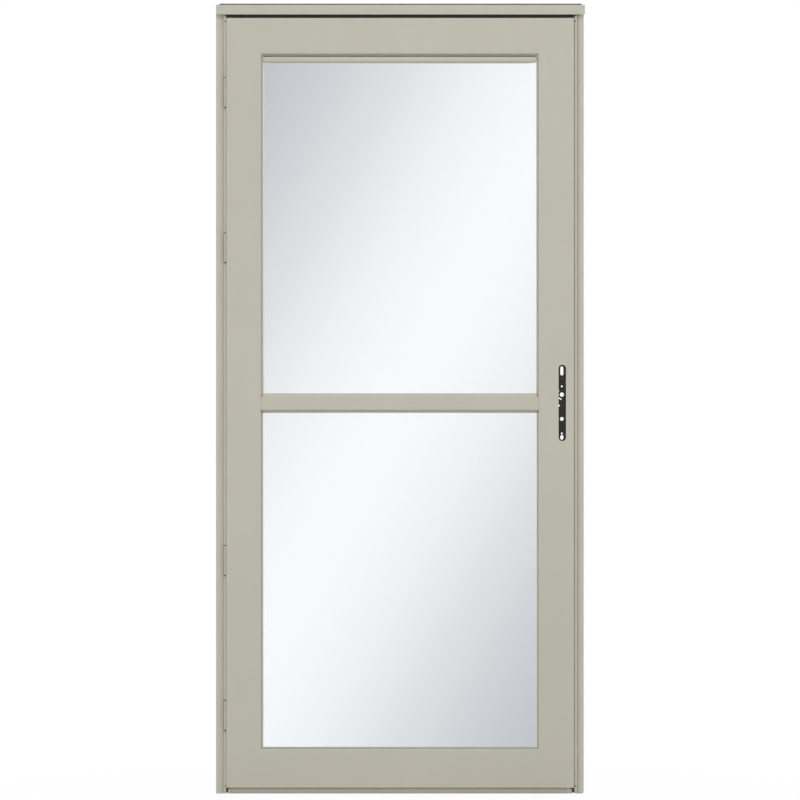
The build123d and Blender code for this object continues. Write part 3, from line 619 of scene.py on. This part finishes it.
def pile_fibres():
    """Bristles of the header's pile strip, leaning a little each way over the top of the leaf."""
    low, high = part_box("header_weatherstrip")
    shape = bmesh.new()
    count = int((high.x - low.x) / FIBRE_PITCH)
    row_pitch = (high.y - low.y) / FIBRE_ROWS
    for index in range(count):
        for row in range(FIBRE_ROWS):
            x = low.x + (index + random.uniform(*FIBRE_PLACE_X)) * FIBRE_PITCH
            y = low.y + (row + random.uniform(*FIBRE_PLACE_Y)) * row_pitch
            length = FIBRE_LENGTH * random.uniform(FIBRE_SHORTEST, 1.0)
            lean_x = random.uniform(-FIBRE_LEAN, FIBRE_LEAN)
            lean_y = random.uniform(-FIBRE_LEAN, FIBRE_LEAN)
            way = Vector((lean_x, lean_y, -1.0)) * length - Vector((0.0, 0.0, FIBRE_ROOT))
            fibre(shape, Vector((x, y, low.z + FIBRE_ROOT)), way)
    bmesh.ops.recalc_face_normals(shape, faces=shape.faces)
    piece("header_pile_fibres", shape, seal, "frame")


def white_world():
    """White to the eye, to mirrors and through glass; plain soft light to everything else."""
    world = bpy.data.worlds.new("studio")
    bpy.context.scene.world = world
    m = Nodes(world, "OutputWorld")
    soft = m.shader("Background", Color=WHITE, Strength=AMBIENT)
    white = m.shader("Background", Color=WHITE, Strength=BACKGROUND_WHITE)
    m.blend(m.seen_directly(), soft, white)


def area_light(name, place, size, energy):
    """Soft box aimed at the middle of the door."""
    lamp = bpy.data.lights.new(name, "AREA")
    lamp.shape = "RECTANGLE"
    lamp.size, lamp.size_y = size
    lamp.energy = energy
    holder = bpy.data.objects.new(name, lamp)
    holder.location = place
    holder.rotation_euler = (Vector(LIGHT_TARGET) - Vector(place)).to_track_quat("-Z", "Y").to_euler()
    bpy.context.scene.collection.objects.link(holder)


def floor():
    """Wide pale floor that keeps the door's shadow."""
    m = material_nodes("floor_white")
    apart = m.math("DISTANCE", m.place(), (VIEW_CENTER_X, 0.0, 0.0), kind="VectorMath")
    far = m.spread(apart, FLOOR_NEAR_WHITE, 1.0, FLOOR_FADE_START, FLOOR_FADE_END)
    matte = m.shader("BsdfPrincipled", Base_Color=FLOOR_PALE, Roughness=FLOOR_ROUGHNESS)
    white = m.shader("Emission", Color=WHITE)
    material = m.blend(m.math("MULTIPLY", far, m.seen_directly()), matte, white)
    shape = bmesh.new()
    bmesh.ops.create_grid(shape, x_segments=1, y_segments=1, size=FLOOR_HALF_SIZE)
    ground = mesh_object("floor", shape, material)


def card_material(half_x, half_z, reach):
    """Light that is bright along one diagonal and dark at the other two corners, and fades at the edges."""
    m = material_nodes("card_light")
    place = m.place()
    away = m.math("ABSOLUTE", m.math("DOT_PRODUCT", place, CARD_ACROSS, kind="VectorMath"))
    ramp = m.fill(m.add("ValToRGB"), Fac=m.math("DIVIDE", away, reach))
    ramp.color_ramp.interpolation = "CARDINAL"
    stops = ramp.color_ramp.elements
    stops[0].color = (*WHITE, 1.0)
    stops[1].color = (*CARD_DARKEST, 1.0)
    for position, level in CARD_STOPS:
        stops.new(position).color = (level, level, level, 1.0)
    light = m.shader("Emission", Color=ramp.outputs["Color"], Strength=CARD_STRENGTH)
    clear = m.shader("BsdfTransparent")
    aside = m.math("ABSOLUTE", m.axis(place, "X"))
    above = m.math("ABSOLUTE", m.axis(place, "Z"))
    fade_x = m.spread(aside, 1.0, 0.0, CARD_FADE_X * half_x, half_x)
    fade_z = m.spread(above, 1.0, 0.0, CARD_FADE_Z * half_z, half_z)
    return m.blend(m.math("MULTIPLY", fade_x, fade_z), clear, light)


def reflected_card():
    """Soft-edged studio card in front of the door that only mirrors see."""
    widening = 1.0 + CARD_DISTANCE / camera_distance
    half_x = CARD_HALF_X * widening
    half_z = CARD_HALF_Z * widening
    shape = bmesh.new()
    corners = [(-half_x, -half_z), (half_x, -half_z), (half_x, half_z), (-half_x, half_z)]
    shape.faces.new([shape.verts.new((x, 0.0, z)) for x, z in corners])
    card = mesh_object("reflected_card", shape, card_material(half_x, half_z, CARD_REACH * widening))
    card.location = (VIEW_CENTER_X, -CARD_DISTANCE, VIEW_CENTER_Z)
    card.visible_camera = False
    card.visible_diffuse = False
    card.visible_transmission = False
    card.visible_shadow = False


# Camera
camera_distance = LENS_MM / SENSOR_MM * VIEW_WIDTH
camera_data = bpy.data.cameras.new("camera")
camera_data.lens = LENS_MM
camera_data.sensor_width = SENSOR_MM
camera_data.clip_end = SIGHT_LIMIT
camera = bpy.data.objects.new("camera", camera_data)
camera.location = (VIEW_CENTER_X, cad_low.y - camera_distance, VIEW_CENTER_Z)
camera.rotation_euler = (math.radians(90), 0.0, 0.0)
bpy.context.scene.collection.objects.link(camera)
bpy.context.scene.camera = camera

# Light and stage
bpy.context.scene.view_settings.view_transform = "Standard"
white_world()
for light in LIGHTS:
    area_light(*light)
floor()
reflected_card()

# Finishes
paint = paint_material()
# Trim finishes with painted shade darkening their steep reveals
trim_paint = paint_material("sandtone_trim_painted_shade", reveal_painted_shade=REVEAL_PAINTED_SHADE)
foot_trim_paint = paint_material("sandtone_foot_trim_painted_shade", reveal_painted_shade=FOOT_REVEAL_PAINTED_SHADE)
# Sweep paint darkened as painted shade under the leaf's overhang
sweep_paint = paint_material("sandtone_sweep_painted_shade", tint=shade(PAINT, SWEEP_PAINTED_SHADE))
cap_vinyl = vinyl_material("moulded_vinyl", shade(VINYL, CAP_SHADE))
# Pale bead that partly stands in for a highlight: painted highlight
bead = bead_material()
vinyl = vinyl_material()
seal = seal_material()
top_foam = seal_material("top_foam", shade(SEAL_BLACK, TOP_FOAM_SHADE), sheen=0.0)
glass = glass_material()
case_steel = case_material()
pin_steel = case_material("pin_steel", shade(CASE_DARK, PIN_SHADE))
rivet_steel = case_material("rivet_steel", shade(CASE_DARK, RIVET_SHADE))
pad_pile = seal_material("brown_pile", PAD_BROWN)
steel = steel_material()
mesh_finish = mesh_material()

# Finishes of the CAD nodes
painted = [
    "hinge_z_bar", "latch_z_bar", "header_z_bar", "hinge_side_cover", "latch_side_cover",
    "hinge_stile", "latch_stile", "top_rail", "bottom_rail",
    "sash_top_rail", "sash_bottom_rail", "sash_track_left", "sash_track_right",
    "screen_cassette", "screen_pull_bar",
]
hinge_plates = [f"hinge_{plate}_leaf_{number}" for plate in ("frame", "door") for number in HINGE_NUMBERS]
dress(painted + hinge_plates, paint)
# Trims and mid rail: painted shade on their steep faces
dress(["trim_left", "trim_right", "trim_top", "mid_rail"], trim_paint)
dress(["trim_bottom"], foot_trim_paint)
dress(["hinge_side_seal", "latch_side_seal", "lower_glass_retainer"], vinyl)
dress(["sweep_end_cap_left", "sweep_end_cap_right"], cap_vinyl)
# Sweep channel: paint darkened as painted shade under the leaf's overhang
dress(["sweep_channel"], sweep_paint)
dress(["header_weatherstrip", "sweep_fins"], seal)
dress(["header_top_seal"], top_foam)
dress(["upper_glass", "lower_glass"], glass)
dress(["lock_case"], case_steel)
dress(["lock_faceplate", "latch_bolt", "strike_plate"], steel)
dress(["hinge_pins"], pin_steel)
dress(["screen_roll"], mesh_finish)

# Pieces that ride on the solids
glazing_beads()
hinge_screws()
lock_screws()
lock_rivet()
corner_pad()
pile_fibres()

# Rounded edges of rolled, cast and moulded metal and vinyl
for name in ("lock_faceplate", "strike_plate", "latch_bolt", "lock_case"):
    soften(name, METAL_EDGE)
for name in ("sweep_end_cap_left", "sweep_end_cap_right", "mid_rail", "sash_bottom_rail", "sash_top_rail"):
    soften(name, MOULDED_EDGE)
for name in hinge_plates:
    soften(name, HINGE_EDGE)
